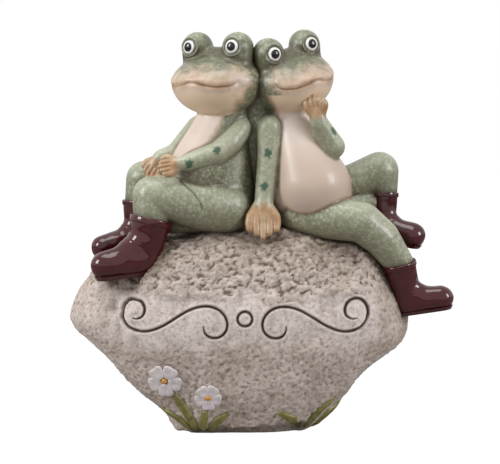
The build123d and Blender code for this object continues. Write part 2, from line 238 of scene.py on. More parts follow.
def choose_faces(piece, chosen):
    """Opens a piece for editing with only the chosen faces selected."""
    take(piece)
    bpy.ops.object.mode_set(mode="EDIT")
    bpy.ops.mesh.select_mode(type="FACE")
    bpy.ops.mesh.select_all(action="DESELECT")
    bpy.ops.object.mode_set(mode="OBJECT")
    piece.data.polygons.foreach_set("select", chosen)
    bpy.ops.object.mode_set(mode="EDIT")


def refine(piece, chosen):
    """Divides the faces whose points are all chosen."""
    starts, sizes, corners = corners_of(piece)
    choose_faces(piece, np.minimum.reduceat(chosen[corners].astype(int), starts).astype(bool))
    bpy.ops.mesh.subdivide(number_cuts=1)
    bpy.ops.object.mode_set(mode="OBJECT")


def seen_from_front(points):
    """Where points are seen from the camera's tilt, across and up, in millimetres."""
    up = points[:, 2] * cos(camera_tilt) + points[:, 1] * sin(camera_tilt)
    return np.column_stack((points[:, 0], up))


def away_from(line, points):
    """How far each point is from a line of points, in the same units."""
    line = np.asarray(line, float)
    nearest = np.full(len(points), 1e9)
    for start, end in zip(line, line[1:]):
        run = end - start
        along = np.clip((points - start) @ run / (run @ run), 0, 1)
        nearest = np.minimum(nearest, np.linalg.norm(points - start - along[:, None] * run, axis=1))
    return nearest


def scroll_line(middle, width, tilt, bend, low, high):
    """A double curl whose bend grows evenly away from its straight middle, as a strip coils."""
    steps = np.linspace(low, high, 120)
    heading = radians(tilt) + bend * steps**2
    points = np.cumsum(np.column_stack((np.cos(heading), np.sin(heading))), axis=0)
    points -= (points.min(axis=0) + points.max(axis=0)) / 2
    return points * width / np.ptp(points[:, 0]) + middle


rock_width, rock_depth, rock_height = 236, 98, 142
rock_detail, frog_detail, boot_detail = 1.15, 0.85, 0.75
rock = egg("rock_boulder", rock_height / 2, (128, 58, 78), 128, 80)
press(rock, "SHRINKWRAP", target=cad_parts["rock"], wrap_method="NEAREST_SURFACEPOINT")
press(rock, "REMESH", mode="VOXEL", voxel_size=rock_detail * mm, use_smooth_shade=True)

# The carved scroll: a double curl on each side of a small ring, cut with one loop tool.
scroll_level, scroll_ring = 84.5, 5
curl = scroll_line((48.5, scroll_level), 73, -33, 6.3, -0.94, 1.06)
scroll_lines = [curl * (side, 1) for side in (1, -1)]
scroll_ends = np.array([line[end] for line in scroll_lines for end in (0, -1)])
turn = np.linspace(0, 2 * np.pi, 25)
scroll_lines.append(
    np.column_stack((scroll_ring * np.cos(turn), scroll_level + scroll_ring * np.sin(turn)))
)


def off_the_scroll(points):
    return np.min([away_from(line, points[:, [0, 2]]) for line in scroll_lines], axis=0)


# Where the sides sway across: how far to the right, from which place across and fully at which,
# round which height and how tall, all in millimetres.
sways = (
    (1.8, -60, -100, 97, 12),
    (-2.0, -60, -100, 73, 9),
    (-3.0, -30, -80, 42, 17),
    (2.5, 30, 60, 31, 9),
    (2.0, 60, 95, 62, 10),
    (-6.5, 10, 45, 0, 12),
)
points = sponge(points_of(rock), edges_of(rock), 3)
x, y, z = points.T
for shift, start, full, level, tall in sways:
    points[:, 0] += shift * ease(start, full, x) * hump(z, level, tall)
points[:, 1] -= 8.0 * ease(-5, -50, x) * ease(-5, -25, y) * hump(z, 0, 16)
put_points(rock, points)
refine(rock, (off_the_scroll(points) < 3.2) & (points[:, 1] < -20))
points, out, edges = points_of(rock), facing_of(rock), edges_of(rock)
x, y, z = points.T

# Seeded, because the noise that bends the pits would else start from a new place on every run.
noise.seed_set(5)
lump, chips, grit, scrape = [], [], [], []
for point in points:
    spot = Vector(point)
    bent = spot + noise.noise_vector(spot / 6) * 2.2
    lump.append(noise.noise(spot / 30) + 0.5 * noise.noise(spot / 13))
    rubble = noise.fractal(bent / 5.2, 0.5, 2.1, 4)
    slanted = Vector((bent.x * 0.75 + bent.z * 0.3, bent.y, bent.z * 1.25 - bent.x * 0.3))
    facets = noise.cell(slanted / 6.5) + 0.6 * noise.cell(slanted / 3.4) + 0.7 * noise.noise(slanted / 4.4)
    chips.append(0.8 * rubble + 0.62 * facets + 0.35 * noise.noise(spot / 1.5))
    grit.append(noise.noise(bent / 3.2) + 0.8 * noise.noise(spot / 1.6) - 0.5 * abs(noise.noise(bent / 5)))
    scrape.append(noise.noise(Vector((point[0] / 7, point[1] / 9, point[2] / 17))))
lump, chips, grit, scrape = np.array(lump), np.array(chips), np.array(grit), np.array(scrape)
wander = 9 * lump + 2.5 * scrape
top_rough = ease(97, 104, z + wander)
panel = ease(64, 74, z + wander) * (1 - top_rough) * ease(-97, -88, wander - np.abs(x + 3))
wiped = panel * ease(0.2, 0.6, -out[:, 1])
height = 1.5 * lump + 0.9 * top_rough * chips + 0.62 * grit * (1 - top_rough) * (1 - 0.8 * wiped)
height = (height + wiped * (0.9 * scrape - 0.6)) * ease(0.1, 2.5, z)
away = off_the_scroll(points)
from_end = np.linalg.norm(points[:, None, [0, 2]] - scroll_ends, axis=2).min(axis=1)
stroke = 0.5 + 0.5 * ease(0, 9, from_end)
carved = (y < -20) * np.exp(-((away / stroke) ** 4))
rolled_edge = (y < -20) * hump(away, 2.0 * stroke, 0.8)
height += 0.3 * rolled_edge - 1.35 * carved * stroke
put_points(rock, points + out * height[:, None])
hollow = sponge(height, edges, 14) - height
note_down(rock, "pit", np.clip(hollow / 0.75, -1, 1) * (1 - carved))
note_down(rock, "line", carved)
note_down(rock, "rough", top_rough)
note_down(rock, "wiped", wiped)
# The top mark darkens the rough crown, and paints shade that darkens the rock towards its base.
note_down(rock, "top", np.maximum(top_rough * ease(100, 130, z + wander), 0.35 * ease(50, 5, z)))

# The hollow that the slip is drained from, narrower low down, and the hole that it is poured by.
pour_radius, pour_depth, pour_level = 12, 24, 6
rock_hollow = egg("rock_hollow", rock_height / 2, (98, 34, 58), 48, 24)
points = points_of(rock_hollow)
points[:, 0] *= np.interp(points[:, 2], (10, 85), (0.55, 1))
put_points(rock_hollow, points)
bpy.ops.mesh.primitive_cylinder_add(
    vertices=48, radius=pour_radius * mm, depth=pour_depth * mm, location=(0, 0, pour_level * mm)
)
pour_hole = bpy.context.object
settle_place(pour_hole)
press(rock_hollow, "BOOLEAN", object=pour_hole, operation="UNION", solver="EXACT")
press(rock, "BOOLEAN", object=rock_hollow, operation="DIFFERENCE", solver="EXACT")
for used in (rock_hollow, pour_hole):
    bpy.data.objects.remove(used)
take(rock)
bpy.ops.object.shade_smooth()


def lay_coats(tree, under, coats):
    """Brushes coats of colour one over another, each as thick as its reading, within limits."""
    for step, (reading, limits, colour) in enumerate(coats, 3):
        share = add(tree, "MapRange", (step, 3), {"Value": reading, **limits})
        over = paint(colour) if isinstance(colour, str) else colour
        under = add(tree, "Mix", (step, 2), {"Factor": share, 6: under, 7: over}, data_type="RGBA")
    return under


# Bisque with an oxide wash: the fired clay is matt and slightly chalky, and the wash stays dark
# in the carved lines, brown in the pits and thin on what stands proud.
bisque, tree = bare_material("fired clay with a brown oxide wash")
where = add(tree, "TexCoord").outputs["Object"]
marks = {
    mark: add(tree, "Attribute", (0, row), attribute_name=mark).outputs["Fac"]
    for row, mark in enumerate(("pit", "line", "rough", "wiped", "top", "contact"), 1)
}
cloud_size, speck_size, crack_size = 22.2, 2.381, 3.333
blotchy = {"Vector": where, "Scale": 1 / cloud_size / mm, "Detail": 4, "Roughness": 0.6}
gritty = {"Vector": where, "Scale": 1 / speck_size / mm, "Detail": 5, "Roughness": 0.7}
crazed = {"Vector": where, "Scale": 1 / crack_size / mm}
cloud = add(tree, "TexNoise", (1, 0), blotchy)
speck = add(tree, "TexNoise", (1, -1), gritty)
crack = add(tree, "TexVoronoi", (1, -2), crazed, feature="DISTANCE_TO_EDGE")
ground = add(tree, "ValToRGB", (2, 0), {"Fac": cloud})
for end, position, colour in zip(ground.color_ramp.elements, (0.34, 0.66), ("#b0a298", "#d2c5bd")):
    end.position, end.color = position, paint(colour)
rubbed_in = add(tree, "MapRange", (1, 4), {"Value": marks["rough"], "To Min": 0.7, "To Max": 0.95})
body = lay_coats(tree, ground, (
    (marks["wiped"], {"To Max": 0.6}, "#e0d6d1"),
    # Darker over the rough crown, and painted shade towards the base.
    (marks["top"], {"To Max": 0.55}, "#827464"),
    (speck, {"From Min": 0.52, "From Max": 0.36, "To Max": 0.55}, "#8b7b6f"),
    (marks["pit"], {"From Min": 0.03, "From Max": 0.6, "To Max": rubbed_in}, "#6a584a"),
    (marks["pit"], {"From Min": -0.1, "From Max": -0.8, "To Max": 0.5}, "#d9ccc2"),
    # Brown wash and painted shade where the frogs sit on the rock.
    (marks["contact"], {"To Max": 0.75}, "#5a4a38"),
    (marks["line"], {}, "#33200f"),
))
tooth = add(tree, "Math", (3, -2), {0: speck, 1: crack}, operation="ADD")
skin = add(tree, "Bump", (5, -1), {"Height": tooth, "Strength": 0.55, "Distance": 0.7 * mm})
clay = add(tree, "BsdfPrincipled", (11, 0), {"Base Color": body, "Roughness": 0.82, "Normal": skin})
add(tree, "OutputMaterial", (12, 0), {"Surface": clay})
rock.data.materials.clear()
rock.data.materials.append(bisque)
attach(rock, "root")
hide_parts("rock")


# Frogs: each one is cast hollow in a body and a head, with arms and legs rolled from solid clay.
# They are luted together, sponged smooth at the joins, and the faces and fingers are modelled
# with a loop tool. The frogs sit back to back on the rock, heads leaning together.
frog_height = 140


def place(across, back, up):
    """A point in millimetres from shares of the rock's width and depth, and of the height
    above its top, or of the rock's own height below it."""
    rise = frog_height if up > 0 else rock_height
    return np.array((across * rock_width, back * rock_depth, rock_height + up * rise))


def hand_axes(wrist, palm, tilt):
    """The way a hand reaches, and the way its fingers lie side by side."""
    reach = (palm - wrist) / np.linalg.norm(palm - wrist)
    spread = np.cross(reach, (0, -cos(radians(tilt)), sin(radians(tilt))))
    return reach, spread / np.linalg.norm(spread)


def hand_rolls(wrist, palm, size, tilt, length, step):
    """Five stubby fingers that fan out from the wrist, the middle ones longest, as rolls."""
    reach, spread = hand_axes(wrist, palm, tilt)
    rolls = []
    for finger in range(-2, 3):
        offset = spread * finger * step
        tip = palm + offset * 1.08 + reach * length * (1 - 0.2 * abs(finger))
        rolls.append([
            (palm * 0.45 + wrist * 0.55 + offset * 0.4, 3.4 * size),
            (palm + offset, 3.0 * size),
            ((palm + offset + tip) / 2 + offset * 0.06, 2.7 * size),
            (tip, 2.15 * size),
        ])
    return rolls


def finger_creases(points, wrist, palm, size, tilt, length, step):
    """1 along the tooled lines between the fingers, and 0 away from them."""
    reach, spread = hand_axes(wrist, palm, tilt)
    across, along = (points - palm) @ spread, (points - palm) @ reach
    fan = step * np.interp(along, (-6, 0, length / 2, length), (0.6, 1, 1.1, 1.08))
    lines = sum(hump(across, gap * fan, 0.5 * size) for gap in (-1.5, -0.5, 0.5, 1.5))
    return lines * ease(-0.1, 0.4, along / length) * (np.linalg.norm(points - palm, axis=1) < 1.5 * length)


# Each limb is one or more rolls of clay, and each roll a row of balls: a centre and a radius.
# A hand is its wrist, palm, size and tilt, and its fingers' length and step from one to the next.
frogs = {
    "left_frog": {
        "body": [
            [(place(-0.093, 0.02, 0.164), 30), (place(-0.052, 0.02, 0.528), 19.5)],
            [(np.array((-30.5, -10, 184)), 23), (np.array((-18, -5, 214)), 16.5)],
            [(np.array((-28, -15, 154)), 14), (np.array((-50, -14, 150.5)), 12)],
            [(place(-0.052, 0.02, 0.528), 19.5), (np.array((-15, -4, 234)), 18.5)],
        ],
        "near_leg": [[
            (place(-0.060, -0.14, 0.107), 18.5), (place(-0.120, -0.20, 0.128), 18.3),
            (place(-0.200, -0.23, 0.155), 16.2), (place(-0.271, -0.235, 0.172), 14.0),
            (place(-0.273, -0.262, 0.066), 12.6),
        ]],
        "far_leg": [[
            (place(-0.127, 0.08, 0.130), 13), (place(-0.301, 0.06, 0.236), 12.3),
            (place(-0.314, 0.06, 0.115), 10.2),
        ]],
        "near_arm": [[
            (place(-0.014, -0.12, 0.500), 8.6), (place(-0.044, -0.21, 0.438), 8.4),
            (place(-0.080, -0.27, 0.390), 7.6), (place(-0.172, -0.32, 0.342), 5.6),
            (place(-0.204, -0.34, 0.337), 4.4),
        ]],
        "far_arm": [[
            (place(-0.139, -0.04, 0.500), 8), (place(-0.203, -0.08, 0.371), 7.4),
            (place(-0.248, -0.15, 0.360), 5.2), (place(-0.268, -0.178, 0.322), 3.2),
        ]],
        "near_hand": (place(-0.184, -0.33, 0.338), place(-0.216, -0.35, 0.333), 0.95, 22, 7.5, 2.7),
        "far_hand": (place(-0.250, -0.15, 0.358), place(-0.268, -0.178, 0.318), 0.8, 25, 7.0, 2.8),
        "head": place(-0.077, -0.055, 0.728),
        "head_radius": 32.2, "face_turn": -32, "head_roll": 2,
        "eye_spacing": 33, "gaze_turns": (-25, -36), "gaze_rises": (9, 6), "eye_lift": 23.2,
        "folds": ((-44.5, 171.9), (-39.9, 167.8), (-35.2, 163.2), (-30.6, 156.8), (-28.8, 151.6)),
        "cream_turns": (50, 80), "belly_turn": -65,
        "belly_reach": ((184, -20), (190, 14), (200, 42), (214, 52), (226, 56)),
        "spots": ((-18.2, 193.9), (-36.4, 182.0)),
    },
    "right_frog": {
        "body": [
            [(place(0.193, 0.02, 0.182), 29.5), (place(0.119, 0.02, 0.543), 17.5)],
            [(np.array((47, -9, 172)), 26.5), (np.array((34, -6, 212)), 14)],
            [(np.array((38, 3, 166)), 28), (np.array((24, 5, 198)), 17), (np.array((21, 6, 222)), 13)],
            [(place(0.119, 0.02, 0.543), 17.5), (np.array((33, -3, 236)), 17.5)],
            [(np.array((8, -4, 234)), 11), (np.array((6, -4, 204)), 9.5), (np.array((7, 5, 160)), 9)],
        ],
        "near_leg": [[
            (place(0.163, -0.12, 0.069), 15), (place(0.252, -0.20, 0.060), 15),
            (place(0.341, -0.22, 0.043), 14.2), (place(0.400, -0.20, -0.039), 12.9),
            (place(0.453, -0.175, -0.162), 10.2),
        ]],
        "far_leg": [[
            (place(0.267, 0.08, 0.175), 12.5), (place(0.400, 0.10, 0.271), 13.5),
            (place(0.415, 0.10, 0.145), 9.0),
        ], [(np.array((60, 6, 157)), 14), (np.array((88, 8, 157)), 8.5)]],
        "near_arm": [[
            (place(0.072, -0.14, 0.507), 8.6), (place(0.067, -0.17, 0.350), 7.6),
            (place(0.057, -0.21, 0.164), 6.8), (place(0.053, -0.27, 0.060), 5.0),
        ]],
        "far_arm": [[
            (place(0.210, -0.06, 0.507), 8), (place(0.257, -0.17, 0.412), 8.7),
            (place(0.216, -0.24, 0.536), 6.3), (place(0.210, -0.25, 0.590), 4.6),
        ]],
        "near_hand": (place(0.053, -0.21, 0.164), place(0.053, -0.27, 0.072), 1.2, 0, 14.5, 4.3),
        "far_hand": (place(0.216, -0.24, 0.536), place(0.207, -0.26, 0.612), 0.95, -30, 6.0, 2.9),
        "head": place(0.133, -0.01, 0.736),
        "head_radius": 29.5, "face_turn": 35, "head_roll": 9,
        "eye_spacing": 31, "gaze_turns": (25, 29), "gaze_rises": (3, 9), "eye_lift": 21.0,
        "folds": ((72, 160), (79, 163)),
        "cream_turns": (42, 62), "belly_turn": 27,
        "belly_reach": ((140, 60), (165, 80), (185, 76), (200, 66), (212, 48), (226, 38)),
        "spots": ((15.4, 192.5), (11.9, 169.4), (63.0, 207.2)),
    },
}
head_rise, head_drop = 19.5, 23.5
eye_bulb, eye_white, pupil_size = 11.2, 4.6, 3.5


def head_axes(frog):
    """The head's own directions, as columns: out of the face, to the frog's left, the crown."""
    turn = radians(frog["face_turn"])
    level = Matrix(((sin(turn), cos(turn), 0), (-cos(turn), sin(turn), 0), (0, 0, 1)))
    return np.array(level @ Matrix.Rotation(radians(frog["head_roll"]), 3, "X"))


def eyes_of(frog):
    """Each eye's centre and the way it looks, the near one first."""
    face, left, crown = head_axes(frog).T
    near = 1 if frog["face_turn"] < 0 else -1
    looks = []
    for side, turn, rise in zip((near, -near), frog["gaze_turns"], frog["gaze_rises"]):
        gaze = np.array((sin(radians(turn)), -cos(radians(turn)), np.tan(radians(rise))))
        centre = frog["head"] + left * side * frog["eye_spacing"] / 2 + crown * frog["eye_lift"]
        looks.append((centre, gaze / np.linalg.norm(gaze)))
    return looks


def ball(centre, radius, segments=32, rings=20):
    let_go()
    bpy.ops.mesh.primitive_uv_sphere_add(
        segments=segments, ring_count=rings, radius=radius * mm, location=Vector(centre) * mm
    )
    return bpy.context.object


def join_up(name, pieces):
    """Joins pieces into one, under the name given."""
    take(*pieces)
    bpy.ops.object.join()
    joined = bpy.context.object
    joined.name = name
    settle_place(joined)
    return joined


def skin_round(*pieces):
    """Joins pieces and draws one tight skin round them."""
    take(*pieces)
    bpy.ops.object.join()
    bpy.ops.object.mode_set(mode="EDIT")
    bpy.ops.mesh.select_all(action="SELECT")
    bpy.ops.mesh.convex_hull()
    bpy.ops.object.mode_set(mode="OBJECT")
    return bpy.context.object


def roll_clay(stations):
    """A roll of clay that swells and tapers through balls, each a centre and a radius."""
    return [skin_round(ball(*start), ball(*end)) for start, end in zip(stations, stations[1:])]


def lump_head(frog):
    """A flattened ball with a blunt snout, a forehead that dips in front and a deep jaw."""
    head = ball((0, 0, 0), 1, 96, 64)
    unit = points_of(head)
    around = np.degrees(np.arctan2(unit[:, 1], unit[:, 0]))
    level = np.linalg.norm(unit[:, :2], axis=1)
    front = hump(around, 0, 48)
    girth = frog["head_radius"] * level ** 0.92 / np.maximum(level, 1e-6)
    girth *= 1 + 0.06 * front * level**2
    heights = np.where(unit[:, 2] > 0, head_rise, head_drop) * unit[:, 2]
    heights -= 3.0 * front * ease(0.15, 0.55, unit[:, 2]) * ease(0.15, 0.6, level)
    own = np.column_stack((unit[:, 0] * girth, unit[:, 1] * girth, heights))
    put_points(head, own @ head_axes(frog).T + frog["head"])
    return head


def off_rolls(rolls, points):
    """How far points lie outside a group of rolls; less than nothing inside them."""
    nearest = np.full(len(points), 1e9)
    for roll in rolls:
        for (start, start_radius), (end, end_radius) in zip(roll, roll[1:]):
            run = end - start
            along = np.clip((points - start) @ run / (run @ run), 0, 1)
            off = np.linalg.norm(points - start - along[:, None] * run, axis=1)
            nearest = np.minimum(nearest, off - start_radius - along * (end_radius - start_radius))
    return nearest


def off_head(frog, points):
    """How far points lie outside a frog's head; less than nothing inside it."""
    half_height = (head_rise + head_drop) / 2
    radii = np.array((frog["head_radius"], frog["head_radius"], half_height))
    scaled = (points - frog["head"]) @ head_axes(frog) / radii
    return (np.linalg.norm(scaled, axis=1) - 1) * half_height


def off_hand(groups, side, points):
    """How far points lie outside the fingers, which are an arm's rolls after its first."""
    return off_rolls(groups[side + "_arm"][1:], points)


def by_hands(groups, points):
    """1 by a frog's hands, and 0 elsewhere."""
    gaps = [off_hand(groups, side, points) for side in ("near", "far")]
    return 1 - ease(0, 5, np.min(gaps, axis=0))


def lump_frog(name, frog):
    """Lumps one frog together from rolls of clay and sponges it, and gives back its rolls too."""
    groups = {limb: list(frog[limb]) for limb in ("body", "near_leg", "far_leg", "near_arm", "far_arm")}
    for side in ("near", "far"):
        groups[side + "_arm"] += hand_rolls(*frog[side + "_hand"])
    axes, eyes = head_axes(frog), eyes_of(frog)
    crown = axes[:, 2]
    groups["head"] = [[(centre, eye_bulb), (centre - crown * 9, eye_bulb - 0.6)] for centre, gaze in eyes]
    groups["head"].append([(centre - crown * 7.5, 8.5) for centre, gaze in eyes])
    pieces = [lump_head(frog)]
    for rolls in groups.values():
        for roll in rolls:
            pieces += roll_clay(roll)
    whole = join_up(name, pieces)
    press(whole, "REMESH", mode="VOXEL", voxel_size=frog_detail * mm, use_smooth_shade=True)
    edges = edges_of(whole)
    points = sponge(points_of(whole), edges, 3)
    points = sponge(points, edges, 9, 0.5 * (1 - by_hands(groups, points)))
    put_points(whole, points)
    own = (points - frog["head"]) @ axes
    face = (own[:, 0] > 6) & (np.abs(own[:, 2]) < 15) & (off_head(frog, points) < 4)
    for centre, gaze in eyes:
        face |= (np.linalg.norm(points - centre, axis=1) < eye_bulb + 2) & ((points - centre) @ gaze > 4)
    refine(whole, face | (by_hands(groups, points) > 0.5))
    return whole, groups


def mouth_line(around):
    """The height of the smile above the head's middle, at angles around it from the nose."""
    return np.interp(np.abs(around), (0, 6, 15, 30, 45, 55), (1.4, 1.0, -0.5, -2.0, -1.5, 0.7))


def model_face(frog, around, above, on_head):
    """How high the lips, nostrils and cheeks stand, and where the mouth is drawn in."""
    per_degree = 0.52
    smile = on_head * (1 - ease(50, 57, np.abs(around)))
    nearer = around if frog["face_turn"] < 0 else -around
    groove = smile * hump(above, 0, 0.55) * (0.35 + 0.65 * ease(-25, 10, nearer))
    height = 0.75 * smile * hump(above, 2.6, 2.2) - 0.7 * groove
    height += 0.5 * smile * hump(above, -2.4, 1.8) * (1 - np.abs(around) / 90)
    for nostril in (-7, 7):
        height += 0.8 * on_head * hump(around, nostril, 5) * hump(above, 1.9, 1.7)
    corner = np.hypot((np.abs(around) - 56) * per_degree, above)
    cheek = np.hypot((np.abs(around) - 76) * per_degree, above - 1)
    height += on_head * (1.2 * hump(cheek, 0, 6.5) - 0.6 * hump(corner, 0, 2.0))
    return height, groove


def model_eyelids(frog, points):
    """How high each eye's lid stands round a seat for the white, and where its groove runs."""
    height, rings = np.zeros(len(points)), np.zeros(len(points))
    for centre, gaze in eyes_of(frog):
        along = (points - centre) @ gaze
        off = np.linalg.norm(points - centre - along[:, None] * gaze, axis=1)
        forward = (along > 3) * (np.linalg.norm(points - centre, axis=1) < eye_bulb + 2)
        height += forward * (0.75 * hump(off, 6.5, 0.9) - 0.55 * hump(off, 5.3, 0.5))
        height -= forward * 0.5 * (1 - ease(4.4, 5.0, off))
        rings = np.maximum(rings, forward * hump(off, 5.35, 0.5))
    return height, rings


def tool_frog(whole, frog, groups):
    """Models the face, eyelids, fingers and folds. Gives back how far round the head from the
    nose each point lies, how high above the mouth, if it is on the head, and what is tooled."""
    points = sponge(points_of(whole), edges_of(whole), 2)
    put_points(whole, points)
    out = facing_of(whole)
    own = (points - frog["head"]) @ head_axes(frog)
    around = np.degrees(np.arctan2(own[:, 1], own[:, 0]))
    above = own[:, 2] - mouth_line(around)
    on_head = (off_head(frog, points) < 3) & (own[:, 2] < 14)
    face, groove = model_face(frog, around, above, on_head)
    lids, rings = model_eyelids(frog, points)
    height = face + lids
    between = np.zeros(len(points))
    for side in ("near", "far"):
        lines = finger_creases(points, *frog[side + "_hand"]) * (off_hand(groups, side, points) < 1.2)
        height -= 0.5 * frog[side + "_hand"][2] * lines
        between = np.maximum(between, lines)
    in_fold = hump(away_from(frog["folds"], seen_from_front(points)), 0, 0.6) * (out[:, 1] < -0.2)
    height -= 0.6 * in_fold
    put_points(whole, points + out * height[:, None])
    tooled = np.max([0.85 * groove, 0.9 * rings, 0.6 * between, 0.9 * in_fold], axis=0)
    return around, above, on_head, tooled


def note_shades(whole, gaps, head_gap, tooled):
    """Notes brown wash and painted shade in creases and joins, painted shade on the sides that
    face down, and painted light on arms, legs and the sides that face up.
    """
    points, out, edges = points_of(whole), facing_of(whole), edges_of(whole)
    fine_hollow = ((sponge(points, edges, 6) - points) * out).sum(axis=1)
    broad_hollow = ((sponge(points, edges, 40) - points) * out).sum(axis=1)
    second_limb = np.sort(list(gaps.values()), axis=0)[1]
    joins = 0.8 * (1 - ease(0.3, 3.5, second_limb)) * ease(0, 0.35, broad_hollow)
    bulb_base = 0.6 * (1 - ease(1.2, 5.0, np.maximum(gaps["head"], head_gap)))
    hollows = [ease(0.03, 0.32, fine_hollow), ease(0.12, 1.2, broad_hollow)]
    # Brown wash and painted shade gather in hollows, joins, tooled lines and round the eye bulbs.
    note_down(whole, "crease", np.max([*hollows, joins, bulb_base, tooled], axis=0))
    # Painted shade on the sides that face down.
    note_down(whole, "under", ease(0.5, -0.7, out[:, 2]))
    on_arm = np.minimum(gaps["near_arm"], gaps["far_arm"]) < 1.5
    on_leg = ease(0, 6, gaps["body"] - np.minimum(gaps["near_leg"], gaps["far_leg"]))
    # Painted light: paler on arms and legs, and on the sides that face up.
    upward = np.maximum(0.65 * on_arm, 0.35 * on_leg) + 0.35 * ease(0.1, 0.85, out[:, 2])
    note_down(whole, "upward", upward * (head_gap > 2))


def note_cream_and_blush(whole, frog, gaps, around, above, on_head):
    """Notes the cream of the belly, jaw and muzzle, and the blush on the lips and the hands."""
    points = points_of(whole)
    seat, neck = [centre for centre, radius in frog["body"][0]]
    rise = (points[:, 2] - seat[2]) / (neck[2] - seat[2])
    middle = seat + rise[:, None] * (neck - seat)
    turned = np.degrees(np.arctan2(points[:, 0] - middle[:, 0], middle[:, 1] - points[:, 1]))
    levels, reaches = zip(*frog["belly_reach"])
    inside = np.interp(points[:, 2], levels, reaches) - np.abs(turned - frog["belly_turn"])
    limbs_gap = np.min([gap for limb, gap in gaps.items() if limb not in ("body", "head")], axis=0)
    mottle = np.array([12 * noise.noise(Vector(point) / 5) for point in points])
    chest = ease(-3.0, 2.4, inside * 0.4 + 0.1 * mottle) * (points[:, 2] < 236)
    chest *= ease(-0.5, 0.8, limbs_gap - gaps["body"])
    off_face = np.abs(around) + mottle
    jaw = on_head * ease(2.5, -2.5, above + 0.12 * mottle) * (1 - ease(*frog["cream_turns"], off_face))
    muzzle = 0.85 * on_head * (1 - ease(0, 15, above + 0.3 * mottle)) * ease(-4, -1, above)
    muzzle *= 1 - ease(*frog["cream_turns"], off_face - 6)
    note_down(whole, "cream", np.max([chest, jaw, muzzle], axis=0))
    note_down(whole, "low", chest * ease(214, 180, points[:, 2]))
    note_down(whole, "tan", on_head * ease(0, -8, above))
    blush = 0.8 * on_head * hump(above, 0.4 + 0.08 * mottle, 4.0) * (1 - ease(40, 66, off_face))
    for side in ("near", "far"):
        wrist, palm = frog[side + "_hand"][:2]
        reach = palm - wrist
        along = (points - wrist) @ reach / (reach @ reach)
        close = (gaps[side + "_arm"] < 1.5) * (np.linalg.norm(points - palm, axis=1) < 24)
        blush = np.maximum(blush, close * ease(0.15, 0.75, along))
    note_down(whole, "peach", blush)


def note_dabs(whole, frog):
    """Notes the dabs of dark green, each one round with a broken edge."""
    points, out = points_of(whole), facing_of(whole)
    dabs = np.zeros(len(points))
    for spot in frog["spots"]:
        beside = np.linalg.norm(seen_from_front(points) - spot, axis=1)
        frontmost = np.where((beside < 2) & (out[:, 1] < 0), points[:, 1], 1e3).argmin()
        off = np.linalg.norm((points - points[frontmost]) * (1, 1, 0.85), axis=1)
        close = off < 8
        off[close] += [1.5 * noise.noise(Vector(point) / 1.6) for point in points[close]]
        dabs = np.maximum(dabs, 1 - ease(2.1, 3.2, off))
    note_down(whole, "dab", dabs)


def closing_faces(faces, points):
    """Fans that close every open edge of a shell inside the join, with their middle points."""
    sides = {(a, b) for face in faces for a, b in zip(face, face[1:] + face[:1])}
    following = {}
    for a, b in sides:
        if (b, a) not in sides:
            following.setdefault(a, []).append(b)
    fans, middles = [], []
    while following:
        start = next(iter(following))
        ring, spot = [start], following[start].pop()
        if not following[start]:
            del following[start]
        while spot != start:
            ring.append(spot)
            ahead = following[spot].pop()
            if not following[spot]:
                del following[spot]
            spot = ahead
        hub = len(points) + len(middles)
        middles.append(points[ring].mean(axis=0))
        fans += [[b, a, hub] for a, b in zip(ring, ring[1:] + ring[:1])]
    return fans, middles


def cut_apart(name, whole, gaps):
    """Cuts a frog along its luted joins into a head, a body, arms and legs, each one closed."""
    points, out = points_of(whole), facing_of(whole)
    nearest = np.argmin(list(gaps.values()), axis=0)
    shares = sponge(np.eye(len(gaps))[nearest], edges_of(whole), 10)
    starts, sizes, corners = corners_of(whole)
    owner = np.add.reduceat(shares[corners], starts, axis=0).argmax(axis=1)
    readings = {
        mark.name: gather(mark.data, "value")
        for mark in whole.data.attributes
        if mark.domain == "POINT" and mark.data_type == "FLOAT"
    }
    for number, limb in enumerate(gaps):
        faces = [corners[starts[face]:starts[face] + sizes[face]] for face in np.flatnonzero(owner == number)]
        used = np.unique(np.concatenate(faces))
        renumbered = np.full(len(points), -1)
        renumbered[used] = np.arange(len(used))
        faces = [renumbered[face].tolist() for face in faces]
        fans, middles = closing_faces(faces, points[used])
        mesh = bpy.data.meshes.new(f"{name}_{limb}_clay")
        spots = np.vstack((points[used], np.array(middles).reshape(-1, 3))) * mm
        mesh.from_pydata(spots.tolist(), [], faces + fans)
        mesh.polygons.foreach_set("use_smooth", [True] * len(mesh.polygons))
        outward = [out[used[corner]] for face in faces for corner in face]
        outward += [(0, 0, 0)] * (3 * len(fans))
        mesh.normals_split_custom_set(outward)
        piece = bpy.data.objects.new(mesh.name, mesh)
        scene.collection.objects.link(piece)
        for mark, values in readings.items():
            note_down(piece, mark, np.concatenate((values[used], np.zeros(len(middles)))))
        piece.data.materials.append(glaze)
        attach(piece, "root")
        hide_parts(f"{name}_{limb}")
    bpy.data.objects.remove(whole)


